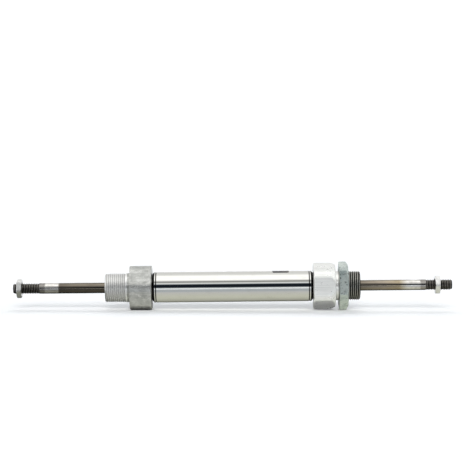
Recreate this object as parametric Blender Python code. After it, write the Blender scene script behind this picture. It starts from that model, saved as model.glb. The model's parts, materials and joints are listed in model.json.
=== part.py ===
"""A small round-bodied pneumatic cylinder with a piston rod through both ends, at mid-stroke.

The cylinder lies along X with its origin at the middle of the barrel, on the rod's axis.
Sizes below are in millimetres, and MM turns them into Blender's metres. Nearly every piece is
turned: its section is a list of (x, radius) points, and turned() sweeps that section round X.
Directions round the axis are angles in degrees: 0 faces -Y and 90 faces +Z.
Pieces that come in left and right pairs are written once for the right end, +X.
"""

import math

import bmesh
import bpy
from mathutils import Matrix, Vector

MM = 0.001
GAP = 0.3  # between pieces that touch or are pressed together
RUNNING = 0.05  # radial clearance where the rod or the piston runs
RIGHT, LEFT = 1, -1

# barrel
BORE_RADIUS = 10.0
TUBE_RADIUS = 11.5
CAP_INNER_X = 61.1  # where each end cap's hexagon faces the barrel
TUBE_END_X = CAP_INNER_X - GAP
ROLL_START_X = 58.8  # the barrel's end curls inwards from here
ROLL_CURL = 1.2  # radius of the curl
ROLL_GROOVE_X = 57.8
ROLL_GROOVE_HALF, ROLL_GROOVE_DEPTH = 0.4, 0.2
ROLL_FRONT_RADIUS = 10.0  # outer edge of the lip's end face
ROLL_LIP_RADIUS = 9.35  # inner edge of the curled lip

# end caps
CAP_SHOULDER_X = 77.5
CAP_ACROSS_FLATS = 32.5
CAP_CORNER_RADIUS = 17.5
LEFT_CAP_FLAT, RIGHT_CAP_FLAT = 30.0, 0.0  # direction of one flat of each cap
CAP_INNER_CHAMFER = (0.9, 0.6)  # along the axis, across it
LEFT_CAP_CHAMFER, RIGHT_CAP_CHAMFER = (0.3, 0.3), (3.2, 1.7)
NOSE_END_X = 96.2
NOSE_RADIUS = 11.0  # M22 x 1.5 and the plain collar behind its thread
NOSE_THREAD_RADIUS = 10.65  # mean of crest and root
NOSE_THREAD_X = 81.0
NOSE_RUN_OUT, NOSE_LEAD_IN = 0.7, 1.0
SPIGOT_END_X = 50.5
SPIGOT_RADIUS = BORE_RADIUS - GAP
SPIGOT_CHAMFER = 0.5
SPIGOT_NECK_X, NECK_X = 58.6, 59.0  # the spigot narrows here, to pass inside the curled lip
NECK_RADIUS = ROLL_LIP_RADIUS - GAP
ORING_GROOVE_X, ORING_GROOVE_END_X = 52.4, 54.8
ORING_GROOVE_RADIUS = SPIGOT_RADIUS - 1.7
BARREL_ORING_RADIUS, BARREL_ORING_SIZE = 9.0, 0.7
CHAMBER_RADIUS = 7.0
CHAMBER_END_X = 74.5
PORT_RADIUS = 4.3  # G1/8
LEFT_PORT, RIGHT_PORT = 90.0, 180.0  # direction that each air port faces

# rod guide and seals inside each nose
ROD_HOLE_RADIUS = 4.6
BUSH_RADIUS = 6.0
BUSH_CHAMFER = 0.4
BUSH_END_X = 85.7
SEAL_HOUSING_X = 87.2
SEAL_HOUSING_RADIUS = 7.0
WIPER_GROOVE_RADIUS = 7.7
WIPER_GROOVE_X, WIPER_GROOVE_END_X = 92.2, 94.4
WIPER_MOUTH_RADIUS = 6.6
BUMPER_INNER_RADIUS, BUMPER_OUTER_RADIUS = 5.6, 9.4
BUMPER_CHAMFER = 0.6
BUMPER_THICK, BUMPER_SLEEVE = 1.6, 4.0

# piston rod
ROD_RADIUS = 4.0
ROD_END_X = 166.0
ROD_THREAD_X = 146.0
ROD_THREAD_RADIUS = 3.6  # M8 x 1.25, mean of crest and root
ROD_THREAD_CHAMFER = 0.8
ROD_RUN_OUT = 0.4
ROD_FLATS_X = 141.7
ROD_ACROSS_FLATS = 7.0
ROD_FLAT = 60.0  # direction of one of the rod's two spanner flats

# piston
PISTON_END_X = 8.4
PISTON_RADIUS = 9.6
PISTON_SPLIT_X = 2.3  # the magnet and the guide ring sit between the halves
PISTON_BORE = ROD_RADIUS + GAP
PISTON_END_STEP = 0.2  # the land outside the seal is this much smaller
PISTON_CHAMFER = 0.4
PISTON_ORING_X, PISTON_ORING_RADIUS, PISTON_ORING_SIZE = 5.4, 4.8, 0.45
PISTON_ORING_GROOVE_HALF, PISTON_ORING_GROOVE_RADIUS = 0.8, 5.6
MAGNET_INNER_RADIUS, MAGNET_OUTER_RADIUS = 4.6, 8.3
SEAL_GROOVE_X, SEAL_GROOVE_END_X = 4.0, 7.4
SEAL_GROOVE_RADIUS = 7.0
CLIP_X, CLIP_END_X = 7.3, 8.1
CLIP_GROOVE_RADIUS = 3.5
CLIP_RADIUS = 5.3
CLIP_START, CLIP_SWEEP = 15.0, 330.0  # the open clip's first end and its sweep
GUIDE_RING_START, GUIDE_RING_SWEEP = 4.0, 352.0
PISTON_SEAL_RADIUS = BORE_RADIUS - 2 * RUNNING
GUIDE_RING_RADIUS = BORE_RADIUS - RUNNING

# nuts
M22_ACROSS_FLATS, M22_THICK, M22_MIDDLE_X, M22_CORNER = 32.0, 6.8, 83.75, 100.0
M22_BORE = NOSE_THREAD_RADIUS + 2 * RUNNING
M22_COUNTERSINK = 0.8
M22_CHAMFERS = ((0.4, 0.4), (1.5, 2.6))  # inner and outer face, each along and across the axis
M8_ACROSS_FLATS, M8_THICK = 13.0, 3.7
M8_BORE = ROD_THREAD_RADIUS + 2 * RUNNING
M8_COUNTERSINK = 0.5
M8_CHAMFERS = ((0.55, 0.95), (0.55, 0.95))
RIGHT_M8_X, RIGHT_M8_CORNER = 155.05, -2.0
LEFT_M8_X, LEFT_M8_CORNER = -161.4, -13.0
BLANK_SPARE = 0.15  # a nut's round blank is this much larger than its hexagon's corners

# label on the barrel's back
LABEL_X, LABEL_END_X = 30.2, 42.6
LABEL_FROM, LABEL_TO = 64.0, 150.0
LABEL_THICK = 0.2

COARSE, FINE = 24, 36  # segments round a turned piece, hidden or in view


def metal(name, colour, roughness, metallic=1.0):
    """A Principled material in linear colour."""
    material = bpy.data.materials.new(name)
    material.use_nodes = True
    shader = material.node_tree.nodes["Principled BSDF"]
    shader.inputs["Base Color"].default_value = (*colour, 1.0)
    shader.inputs["Roughness"].default_value = roughness
    shader.inputs["Metallic"].default_value = metallic
    material.diffuse_color = (*colour, 1.0)
    return material


def soft(name, colour, roughness):
    """A Principled material for rubber, plastic and paint."""
    return metal(name, colour, roughness, metallic=0.0)


def direction(angle):
    """The unit vector across the axis that an angle stands for."""
    turn = math.radians(angle)
    return Vector((0.0, -math.cos(turn), math.sin(turn)))


def add_object(name, mesh_builder, material=None):
    """Turn a finished bmesh into a named object with outward faces and smooth round sides."""
    bmesh.ops.scale(mesh_builder, vec=(MM, MM, MM), verts=mesh_builder.verts)
    bmesh.ops.recalc_face_normals(mesh_builder, faces=mesh_builder.faces)
    mesh = bpy.data.meshes.new(name)
    mesh_builder.to_mesh(mesh)
    mesh_builder.free()
    mesh.shade_smooth()
    mesh.set_sharp_from_angle(angle=math.radians(30))
    if material:
        mesh.materials.append(material)
    piece = bpy.data.objects.new(name, mesh)
    bpy.context.collection.objects.link(piece)
    return piece


def ring_at(builder, x, radius, angles):
    """One ring of vertices round the axis, or a single one where the section meets the axis."""
    if radius == 0:
        return [builder.verts.new((x, 0.0, 0.0))] * len(angles)
    return [builder.verts.new(Vector((x, 0.0, 0.0)) + radius * direction(a)) for a in angles]


def turned(name, section, material, segments=FINE, start=0.0, sweep=360.0):
    """Sweep a closed (x, radius) section round the axis. Less than a full turn gets two end faces."""
    full = sweep == 360.0
    count = segments if full else segments + 1
    angles = [start + sweep * i / segments for i in range(count)]
    builder = bmesh.new()
    rings = [ring_at(builder, x, radius, angles) for x, radius in section]
    for i, ring in enumerate(rings):
        following = rings[(i + 1) % len(rings)]
        for j in range(segments):
            k = (j + 1) % count
            corners = dict.fromkeys((ring[j], ring[k], following[k], following[j]))
            if len(corners) > 2:
                builder.faces.new(corners)
    if not full:
        builder.faces.new([ring[0] for ring in rings])
        builder.faces.new([ring[-1] for ring in rings])
    return add_object(name, builder, material)


def on_side(side, section):
    """A section written for the right end, turned over for the left end when side is LEFT."""
    return [(side * x, radius) for x, radius in section]


def arc(x, radius, size, start, end, steps=4):
    """Points of a round stretch of a section, about the centre (x, radius)."""
    turns = [math.radians(start + (end - start) * i / steps) for i in range(steps + 1)]
    return [(x + size * math.cos(turn), radius + size * math.sin(turn)) for turn in turns]


def cut(piece, cutter):
    """Subtract a cutter, which stays in the file as a hidden wire shape."""
    cutter.hide_render = True
    cutter.display_type = "WIRE"
    boolean = piece.modifiers.new(cutter.name, "BOOLEAN")
    boolean.operation = "DIFFERENCE"
    boolean.solver = "EXACT"
    boolean.object = cutter


def hexagon_cutter(name, across_flats, start_x, end_x, flat_angle):
    """A thick hexagonal tube. Cut from a round blank, it leaves the hexagon inside it."""
    builder = bmesh.new()
    outer_across = 2 * across_flats
    loops = []
    for x, across in ((start_x, across_flats), (end_x, across_flats), (end_x, outer_across),
                      (start_x, outer_across)):
        corner_radius = across / 2 / math.cos(math.radians(30))
        angles = [flat_angle + 30 + 60 * i for i in range(6)]
        loops.append(ring_at(builder, x, corner_radius, angles))
    for i, loop in enumerate(loops):
        following = loops[(i + 1) % len(loops)]
        for j in range(6):
            k = (j + 1) % 6
            builder.faces.new((loop[j], loop[k], following[k], following[j]))
    return add_object(name, builder)


def port_cutter(name, x, angle):
    """A drill that reaches from outside a cap's flat into its air chamber."""
    inner, outer = CHAMBER_RADIUS - 2, CAP_CORNER_RADIUS + 2
    builder = bmesh.new()
    bmesh.ops.create_cone(builder, cap_ends=True, segments=32, radius1=PORT_RADIUS,
                          radius2=PORT_RADIUS, depth=outer - inner)
    along = direction(angle)
    place = Matrix.Translation(Vector((x, 0.0, 0.0)) + along * (inner + outer) / 2)
    bmesh.ops.transform(builder, verts=builder.verts,
                        matrix=place @ along.to_track_quat("Z", "X").to_matrix().to_4x4())
    return add_object(name, builder)


def flats_cutter(name, start_x, end_x, across, angle):
    """Two blocks, either side of the axis, that leave a pair of spanner flats."""
    builder = bmesh.new()
    length = end_x - start_x
    depth = ROD_RADIUS
    for turn in (angle, angle + 180):
        block = bmesh.ops.create_cube(builder, size=1.0)["verts"]
        bmesh.ops.scale(builder, verts=block, vec=(length, 3 * ROD_RADIUS, depth))
        bmesh.ops.translate(builder, verts=block,
                            vec=((start_x + end_x) / 2, 0.0, (across + depth) / 2))
        bmesh.ops.rotate(builder, verts=block, cent=(0.0, 0.0, 0.0),
                         matrix=Matrix.Rotation(math.radians(90 - turn), 3, "X"))
    return add_object(name, builder)


def make_tube(material):
    """The barrel: a thin tube whose ends are rolled in over the caps' necks."""
    curl = arc(ROLL_START_X, TUBE_RADIUS - ROLL_CURL, ROLL_CURL, 90, 10)
    right_outer = [
        (ROLL_GROOVE_X - ROLL_GROOVE_HALF, TUBE_RADIUS),
        (ROLL_GROOVE_X, TUBE_RADIUS - ROLL_GROOVE_DEPTH),
        (ROLL_GROOVE_X + ROLL_GROOVE_HALF, TUBE_RADIUS),
        *curl,
        (TUBE_END_X, ROLL_FRONT_RADIUS),
        (TUBE_END_X, ROLL_LIP_RADIUS),
    ]
    right_inner = [(TUBE_END_X - 2 * GAP, ROLL_LIP_RADIUS), (ROLL_START_X, BORE_RADIUS)]
    right = right_outer + right_inner
    left = on_side(LEFT, right)
    return turned("barrel_tube", right + left[::-1], material)


def cap_section(side):
    """Half the section of an end cap, from the chamber mouth round the outside to the nose bore."""
    outer_axial, outer_radial = RIGHT_CAP_CHAMFER if side == RIGHT else LEFT_CAP_CHAMFER
    inner_axial, inner_radial = CAP_INNER_CHAMFER
    outside = [
        (SPIGOT_END_X, CHAMBER_RADIUS),
        (SPIGOT_END_X, SPIGOT_RADIUS - SPIGOT_CHAMFER),
        (SPIGOT_END_X + SPIGOT_CHAMFER, SPIGOT_RADIUS),
        (ORING_GROOVE_X, SPIGOT_RADIUS),
        (ORING_GROOVE_X, ORING_GROOVE_RADIUS),
        (ORING_GROOVE_END_X, ORING_GROOVE_RADIUS),
        (ORING_GROOVE_END_X, SPIGOT_RADIUS),
        (SPIGOT_NECK_X, SPIGOT_RADIUS),
        (NECK_X, NECK_RADIUS),
        (CAP_INNER_X, NECK_RADIUS),
        (CAP_INNER_X, CAP_CORNER_RADIUS - inner_radial),
        (CAP_INNER_X + inner_axial, CAP_CORNER_RADIUS),
        (CAP_SHOULDER_X - outer_axial, CAP_CORNER_RADIUS),
        (CAP_SHOULDER_X, CAP_CORNER_RADIUS - outer_radial),
        (CAP_SHOULDER_X, NOSE_RADIUS),
        (NOSE_THREAD_X - NOSE_RUN_OUT, NOSE_RADIUS),
        (NOSE_THREAD_X, NOSE_THREAD_RADIUS),
        (NOSE_END_X - NOSE_LEAD_IN, NOSE_THREAD_RADIUS),
        (NOSE_END_X, NOSE_THREAD_RADIUS - NOSE_LEAD_IN),
    ]
    bush_seat = BUSH_RADIUS + GAP
    inside = [
        (NOSE_END_X, WIPER_MOUTH_RADIUS),
        (WIPER_GROOVE_END_X, WIPER_MOUTH_RADIUS),
        (WIPER_GROOVE_END_X, WIPER_GROOVE_RADIUS),
        (WIPER_GROOVE_X, WIPER_GROOVE_RADIUS),
        (WIPER_GROOVE_X, SEAL_HOUSING_RADIUS),
        (SEAL_HOUSING_X, SEAL_HOUSING_RADIUS),
        (SEAL_HOUSING_X, ROD_HOLE_RADIUS),
        (BUSH_END_X + GAP, ROD_HOLE_RADIUS),
        (BUSH_END_X + GAP, bush_seat),
        (CHAMBER_END_X, bush_seat),
        (CHAMBER_END_X, CHAMBER_RADIUS),
    ]
    return outside + inside


def make_cap(side, material):
    """An end cap: hexagon, threaded nose, spigot in the barrel, air chamber and port."""
    end = "right" if side == RIGHT else "left"
    flat = RIGHT_CAP_FLAT if side == RIGHT else LEFT_CAP_FLAT
    port = RIGHT_PORT if side == RIGHT else LEFT_PORT
    cap = turned(f"{end}_end_cap", on_side(side, cap_section(side)), material)
    hexagon = hexagon_cutter(f"{end}_cap_hexagon", CAP_ACROSS_FLATS,
                             side * (CAP_INNER_X - 1), side * (CAP_SHOULDER_X + 1), flat)
    cut(cap, hexagon)
    cut(cap, port_cutter(f"{end}_port_drill", side * (CAP_INNER_X + CAP_SHOULDER_X) / 2, port))
    return cap


def round_ring(name, x, radius, size, material):
    """An O-ring with a round section."""
    section = arc(x, radius, size, 0, 300, steps=5)
    return turned(name, section, material, COARSE)


def bush_section():
    """The sintered bush that guides the rod."""
    run, start = ROD_RADIUS + RUNNING, CHAMBER_END_X + GAP
    return [
        (start, run), (start, BUSH_RADIUS - BUSH_CHAMFER), (start + BUSH_CHAMFER, BUSH_RADIUS),
        (BUSH_END_X, BUSH_RADIUS), (BUSH_END_X, run),
    ]


def rod_seal_section():
    """A U-shaped seal round the rod, its open side towards the air in the chamber."""
    run, outer = ROD_RADIUS + RUNNING, SEAL_HOUSING_RADIUS - GAP
    start, end = SEAL_HOUSING_X + GAP, WIPER_GROOVE_X - GAP
    inner_lip, outer_lip, slot_depth, slot_taper = 0.7, 0.5, 1.9, 0.3
    slot_x, lip_heel_x = start + slot_depth, start + slot_depth / 2
    return [
        (start, run), (start, run + inner_lip), (slot_x, run + inner_lip + slot_taper),
        (slot_x, outer - outer_lip - slot_taper), (start, outer - outer_lip), (start, outer),
        (end, outer), (end, run + RUNNING), (lip_heel_x, run + RUNNING),
    ]


def wiper_section():
    """The wiper in the nose's mouth, whose lip scrapes the rod."""
    run = ROD_RADIUS + RUNNING
    heel, mouth = WIPER_GROOVE_RADIUS - GAP, WIPER_MOUTH_RADIUS - GAP
    start, heel_x, face_x = WIPER_GROOVE_X + GAP, WIPER_GROOVE_END_X - GAP, NOSE_END_X - 0.5
    lip_x, lip_width, lip_height, relief = NOSE_END_X - 0.1, 0.8, 1.2, 0.6
    return [
        (start, run + relief), (start, heel), (heel_x, heel), (heel_x, mouth),
        (face_x, mouth), (face_x, run + lip_height), (lip_x, run), (lip_x - lip_width, run),
    ]


def bumper_section():
    """The ring that the piston meets at the end of its stroke, with a sleeve in the cap."""
    face, sleeve = SPIGOT_END_X - GAP, CHAMBER_RADIUS - GAP
    start = face - BUMPER_THICK
    return [
        (start, BUMPER_INNER_RADIUS), (start, BUMPER_OUTER_RADIUS - BUMPER_CHAMFER),
        (start + BUMPER_CHAMFER, BUMPER_OUTER_RADIUS), (face, BUMPER_OUTER_RADIUS),
        (face, sleeve), (face + BUMPER_SLEEVE, sleeve),
        (face + BUMPER_SLEEVE, BUMPER_INNER_RADIUS),
    ]


def make_end_seals(side, rubber, bronze, amber):
    """What sits in an end cap: barrel O-ring, rod bush, rod seal, wiper and end bumper."""
    end = "right" if side == RIGHT else "left"
    oring_x = (ORING_GROOVE_X + ORING_GROOVE_END_X) / 2
    return [
        round_ring(f"{end}_barrel_oring", side * oring_x, BARREL_ORING_RADIUS,
                   BARREL_ORING_SIZE, rubber),
        turned(f"{end}_rod_bush", on_side(side, bush_section()), bronze, COARSE),
        turned(f"{end}_rod_seal", on_side(side, rod_seal_section()), amber, COARSE),
        turned(f"{end}_rod_wiper", on_side(side, wiper_section()), rubber, COARSE),
        turned(f"{end}_end_bumper", on_side(side, bumper_section()), amber, COARSE),
    ]


def make_rod(material):
    """The through rod: threaded ends, spanner flats, and two grooves for the piston's clips."""
    thread_tip = ROD_THREAD_RADIUS - ROD_THREAD_CHAMFER
    right = [
        (CLIP_X - GAP, ROD_RADIUS), (CLIP_X - GAP, CLIP_GROOVE_RADIUS),
        (CLIP_END_X + GAP, CLIP_GROOVE_RADIUS), (CLIP_END_X + GAP, ROD_RADIUS),
        (ROD_THREAD_X - ROD_RUN_OUT, ROD_RADIUS), (ROD_THREAD_X, ROD_THREAD_RADIUS),
        (ROD_END_X - ROD_THREAD_CHAMFER, ROD_THREAD_RADIUS), (ROD_END_X, thread_tip),
        (ROD_END_X, 0.0),
    ]
    rod = turned("piston_rod", right + on_side(LEFT, right)[::-1], material)
    for side, end in ((RIGHT, "right"), (LEFT, "left")):
        low, high = sorted((side * ROD_FLATS_X, side * (ROD_THREAD_X + ROD_RUN_OUT)))
        cut(rod, flats_cutter(f"{end}_flats", low, high, ROD_ACROSS_FLATS, ROD_FLAT))
    return rod


def make_piston_half(side, material):
    """Half the piston, with its seal groove, hub bore and a seat for the clip."""
    end = "right" if side == RIGHT else "left"
    clip_seat = CLIP_RADIUS + GAP
    end_land = PISTON_RADIUS - PISTON_END_STEP
    section = [
        (PISTON_SPLIT_X, PISTON_BORE), (PISTON_SPLIT_X, PISTON_RADIUS),
        (SEAL_GROOVE_X, PISTON_RADIUS), (SEAL_GROOVE_X, SEAL_GROOVE_RADIUS),
        (SEAL_GROOVE_END_X, SEAL_GROOVE_RADIUS), (SEAL_GROOVE_END_X, end_land),
        (PISTON_END_X - PISTON_CHAMFER, end_land), (PISTON_END_X, end_land - PISTON_CHAMFER),
        (PISTON_END_X, clip_seat), (CLIP_X - GAP, clip_seat), (CLIP_X - GAP, PISTON_BORE),
    ]
    if side == RIGHT:
        groove_start = PISTON_ORING_X - PISTON_ORING_GROOVE_HALF
        groove_end = PISTON_ORING_X + PISTON_ORING_GROOVE_HALF
        section += [
            (groove_end, PISTON_BORE), (groove_end, PISTON_ORING_GROOVE_RADIUS),
            (groove_start, PISTON_ORING_GROOVE_RADIUS), (groove_start, PISTON_BORE),
        ]
    return turned(f"{end}_piston_half", on_side(side, section), material, COARSE)


def make_piston_seal(side, material):
    """A lip seal in a piston half's groove, its open side towards the air it holds back."""
    end = "right" if side == RIGHT else "left"
    inner, outer = SEAL_GROOVE_RADIUS + GAP, PISTON_SEAL_RADIUS
    low, high = SEAL_GROOVE_X + GAP, SEAL_GROOVE_END_X - GAP
    lip, lip_length, lip_edge, slot_depth = 0.6, 0.5, 0.1, 1.2
    section = [
        (low, inner), (low, outer - lip), (high - lip_length, outer), (high, outer - lip_edge),
        (high, outer - lip_edge - lip), (high - slot_depth, (inner + outer) / 2),
        (high, inner + lip), (high, inner),
    ]
    return turned(f"{end}_piston_seal", on_side(side, section), material, COARSE)


def make_clip(side, material):
    """The open ring that holds a piston half on the rod."""
    end = "right" if side == RIGHT else "left"
    inner = CLIP_GROOVE_RADIUS + GAP
    section = [(CLIP_X, inner), (CLIP_X, CLIP_RADIUS), (CLIP_END_X, CLIP_RADIUS),
               (CLIP_END_X, inner)]
    return turned(f"{end}_piston_clip", on_side(side, section), material, COARSE,
                  start=CLIP_START, sweep=CLIP_SWEEP)


def make_piston(aluminium, rubber, ferrite, ptfe, steel):
    """Both halves, the magnet and guide ring between them, and their seals and clips."""
    pieces = []
    for side in (RIGHT, LEFT):
        pieces += [make_piston_half(side, aluminium), make_piston_seal(side, rubber),
                   make_clip(side, steel)]
    low, high = GAP - PISTON_SPLIT_X, PISTON_SPLIT_X - GAP
    magnet = [(low, MAGNET_INNER_RADIUS), (low, MAGNET_OUTER_RADIUS),
              (high, MAGNET_OUTER_RADIUS), (high, MAGNET_INNER_RADIUS)]
    pieces.append(turned("piston_magnet", magnet, ferrite, COARSE))
    pieces.append(round_ring("piston_oring", PISTON_ORING_X, PISTON_ORING_RADIUS,
                             PISTON_ORING_SIZE, rubber))
    ring_inner = MAGNET_OUTER_RADIUS + GAP
    ring = [(low, ring_inner), (low, GUIDE_RING_RADIUS), (high, GUIDE_RING_RADIUS),
            (high, ring_inner)]
    guide_ring = turned("piston_guide_ring", ring, ptfe, COARSE,
                        start=GUIDE_RING_START, sweep=GUIDE_RING_SWEEP)
    return pieces, guide_ring


def nut_section(thickness, bore, blank_radius, chamfers, countersink):
    """A nut's section about x = 0. chamfers are the axial and radial size at -x and at +x."""
    half = thickness / 2
    (low_axial, low_radial), (high_axial, high_radial) = chamfers
    return [
        (-half, bore + countersink), (-half, blank_radius - low_radial),
        (-half + low_axial, blank_radius), (half - high_axial, blank_radius),
        (half, blank_radius - high_radial), (half, bore + countersink),
        (half - countersink, bore), (-half + countersink, bore),
    ]


def make_nut(name, section, across_flats, thickness, x, corner, material):
    """A hexagon nut, made about its own middle and then set at x on the axis."""
    nut = turned(name, section, material, FINE, start=corner)
    cutter = hexagon_cutter(f"{name}_hexagon", across_flats, -thickness, thickness, corner + 30)
    cut(nut, cutter)
    cutter.parent = nut
    nut.location = (x * MM, 0.0, 0.0)
    return nut


def make_mounting_nut(material):
    """The nut on the right nose, chamfered on its outer face."""
    blank_radius = M22_ACROSS_FLATS / 2 / math.cos(math.radians(30)) + BLANK_SPARE
    section = nut_section(M22_THICK, M22_BORE, blank_radius, M22_CHAMFERS, M22_COUNTERSINK)
    return make_nut("mounting_nut", section, M22_ACROSS_FLATS, M22_THICK, M22_MIDDLE_X,
                    M22_CORNER, material)


def make_rod_nut(name, x, corner, material):
    """A thin nut on a rod end, chamfered on both faces."""
    blank_radius = M8_ACROSS_FLATS / 2 / math.cos(math.radians(30)) + BLANK_SPARE
    section = nut_section(M8_THICK, M8_BORE, blank_radius, M8_CHAMFERS, M8_COUNTERSINK)
    return make_nut(name, section, M8_ACROSS_FLATS, M8_THICK, x, corner, material)


def make_label(material):
    """A thin printed label on the barrel's back."""
    low = TUBE_RADIUS + GAP
    section = [(LABEL_X, low), (LABEL_X, low + LABEL_THICK), (LABEL_END_X, low + LABEL_THICK),
               (LABEL_END_X, low)]
    return turned("barrel_label", section, material, COARSE, LABEL_FROM, LABEL_TO - LABEL_FROM)


def axis_empty(name, parent=None):
    """An empty on the cylinder's axis, at the origin, that carries one moving body."""
    empty = bpy.data.objects.new(name, None)
    empty.empty_display_size = 10 * MM
    empty.parent = parent
    bpy.context.collection.objects.link(empty)
    return empty


def carry(empty, pieces):
    """Parent a body's pieces to its empty. Both are on the axis, so nothing moves."""
    for piece in pieces:
        piece.parent = empty


def main():
    for old in list(bpy.data.objects):
        bpy.data.objects.remove(old, do_unlink=True)

    stainless = metal("polished_stainless", (0.76, 0.76, 0.74), 0.12)
    aluminium = metal("turned_aluminium", (0.68, 0.69, 0.67), 0.32)
    piston_aluminium = metal("piston_aluminium", (0.60, 0.61, 0.62), 0.35)
    rod_steel = metal("stained_rod_steel", (0.33, 0.29, 0.25), 0.28)
    galvanised = metal("galvanised_nut", (0.56, 0.59, 0.57), 0.38)
    zinc = metal("zinc_rod_nut", (0.82, 0.82, 0.81), 0.3)
    clip_steel = metal("spring_steel", (0.20, 0.20, 0.21), 0.4)
    bronze = metal("sintered_bronze", (0.45, 0.29, 0.13), 0.5)
    rubber = soft("black_rubber", (0.015, 0.015, 0.016), 0.6)
    amber = soft("amber_polyurethane", (0.45, 0.23, 0.05), 0.45)
    ferrite = soft("bonded_ferrite", (0.04, 0.04, 0.045), 0.7)
    ptfe = soft("filled_ptfe", (0.10, 0.16, 0.14), 0.55)
    label_film = soft("label_film", (0.02, 0.02, 0.022), 0.35)

    barrel = [make_tube(stainless), make_label(label_film)]
    for side in (RIGHT, LEFT):
        barrel.append(make_cap(side, aluminium))
        barrel += make_end_seals(side, rubber, bronze, amber)
    rod = [make_rod(rod_steel)]
    piston, guide_ring = make_piston(piston_aluminium, rubber, ferrite, ptfe, clip_steel)
    rod_nuts = [make_rod_nut("right_rod_nut", RIGHT_M8_X, RIGHT_M8_CORNER, zinc),
                make_rod_nut("left_rod_nut", LEFT_M8_X, LEFT_M8_CORNER, zinc)]

    barrel_axis = axis_empty("barrel_axis")
    slide_axis = axis_empty("rod_slide_axis", barrel_axis)
    spin_axis = axis_empty("rod_spin_axis", slide_axis)
    carry(barrel_axis, barrel + [make_mounting_nut(galvanised)])
    carry(slide_axis, [guide_ring])
    carry(spin_axis, rod + piston + rod_nuts)


main()
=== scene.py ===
"""The looks of a through-rod pneumatic cylinder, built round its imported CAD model.

The cylinder lies along X with its origin at the middle of the barrel. Lengths here are in
millimetres, as the names say or as the section lists use them, and MM turns them into metres.
Angles round the axis are in degrees: 0 faces the camera (-Y) and 90 faces up (+Z).
"""

import json
import math

import bmesh
import bpy
import numpy as np
from mathutils import Matrix, Vector


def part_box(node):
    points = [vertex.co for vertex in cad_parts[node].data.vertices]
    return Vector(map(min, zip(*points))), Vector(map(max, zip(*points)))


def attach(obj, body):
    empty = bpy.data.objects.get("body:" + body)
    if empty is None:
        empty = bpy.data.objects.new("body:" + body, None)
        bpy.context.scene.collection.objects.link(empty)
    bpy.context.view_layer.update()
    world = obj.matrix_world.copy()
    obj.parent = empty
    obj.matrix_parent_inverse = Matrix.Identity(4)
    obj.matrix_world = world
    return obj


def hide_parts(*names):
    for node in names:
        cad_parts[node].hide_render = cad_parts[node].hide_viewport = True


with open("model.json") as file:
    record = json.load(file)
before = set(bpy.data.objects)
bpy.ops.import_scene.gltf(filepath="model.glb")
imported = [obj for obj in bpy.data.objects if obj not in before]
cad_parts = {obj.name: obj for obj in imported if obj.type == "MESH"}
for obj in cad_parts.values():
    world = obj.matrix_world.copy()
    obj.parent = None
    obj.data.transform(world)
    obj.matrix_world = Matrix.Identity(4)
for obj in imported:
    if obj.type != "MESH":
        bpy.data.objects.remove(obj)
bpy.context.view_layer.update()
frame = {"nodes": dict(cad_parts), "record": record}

MM = 0.001
RIGHT, LEFT = 1, -1
SIDES = {"right": RIGHT, "left": LEFT}
ROUND = 192  # vertices round a large turned piece
ROUND_SMALL = 96
EDGE = 0.18  # radius that breaks a machined edge
NUT_EDGE = 0.12


def box_mm(node):
    """A CAD node's lowest and highest corners, in millimetres."""
    low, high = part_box(node)
    return low / MM, high / MM


# ---------------------------------------------------------------- sizes read from the frame

TUBE_HIGH = box_mm("barrel_tube")[1]
CAP_HIGH = box_mm("right_end_cap")[1]
ROD_HIGH = box_mm("piston_rod")[1]
NUT_LOW, NUT_HIGH = box_mm("mounting_nut")

TUBE_RADIUS = TUBE_HIGH.z
TUBE_END = TUBE_HIGH.x
BORE_RADIUS = 10.0
LIP_RADIUS = 9.35
ROLL_GROOVE = TUBE_END - 3.0  # a shallow rolled groove, just before each curled end

CAP_INNER = TUBE_END + 0.3
CAP_SHOULDER = CAP_INNER + 16.4
CAP_CORNER_RADIUS = CAP_HIGH.z
CAP_ACROSS_FLATS = 32.5
CAP_FLAT = {"right": 0.0, "left": 30.0}
CAP_INNER_CHAMFER = (0.9, 0.6)  # along the axis, and inwards
CAP_OUTER_CHAMFER = {"right": (3.2, 1.7), "left": (0.25, 0.25)}
SPIGOT_FACE = 50.5  # where the chamber opens into the barrel
SPIGOT_RADIUS = 9.7
SPIGOT_NECK_RADIUS = 9.05  # where the spigot passes inside the curled lip
PORT_ANGLE = {"right": 180.0, "left": 90.0}
PORT_RADIUS = 4.3
CHAMBER_RADIUS = 7.0
NOSE_END = CAP_HIGH.x
NOSE_RADIUS = 11.0
NOSE_THREAD = CAP_SHOULDER + 2.9
M22_PITCH, M22_DEPTH = 1.5, 0.75
THREAD_FLAT = 0.14  # share of half a pitch that is flat, at the crest and at the root
THREAD_TIP = 0.12  # how far a thread's end cone goes below its root

ROD_RADIUS = ROD_HIGH.z
ROD_END = ROD_HIGH.x
ROD_THREAD = ROD_END - 20.0
ROD_FLATS = ROD_THREAD - 4.3
ROD_ACROSS_FLATS = 7.0
ROD_FLAT_ANGLE = 60.0
M8_PITCH, M8_DEPTH = 1.25, 0.72

M22_ACROSS_FLATS, M22_CORNER = 32.0, 100.0
M8_ACROSS_FLATS = 13.0
M8_CORNER = {"right": -2.0, "left": -13.0}

LABEL_LOW, LABEL_HIGH = box_mm("barrel_label")


# ---------------------------------------------------------------- values of the room

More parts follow.
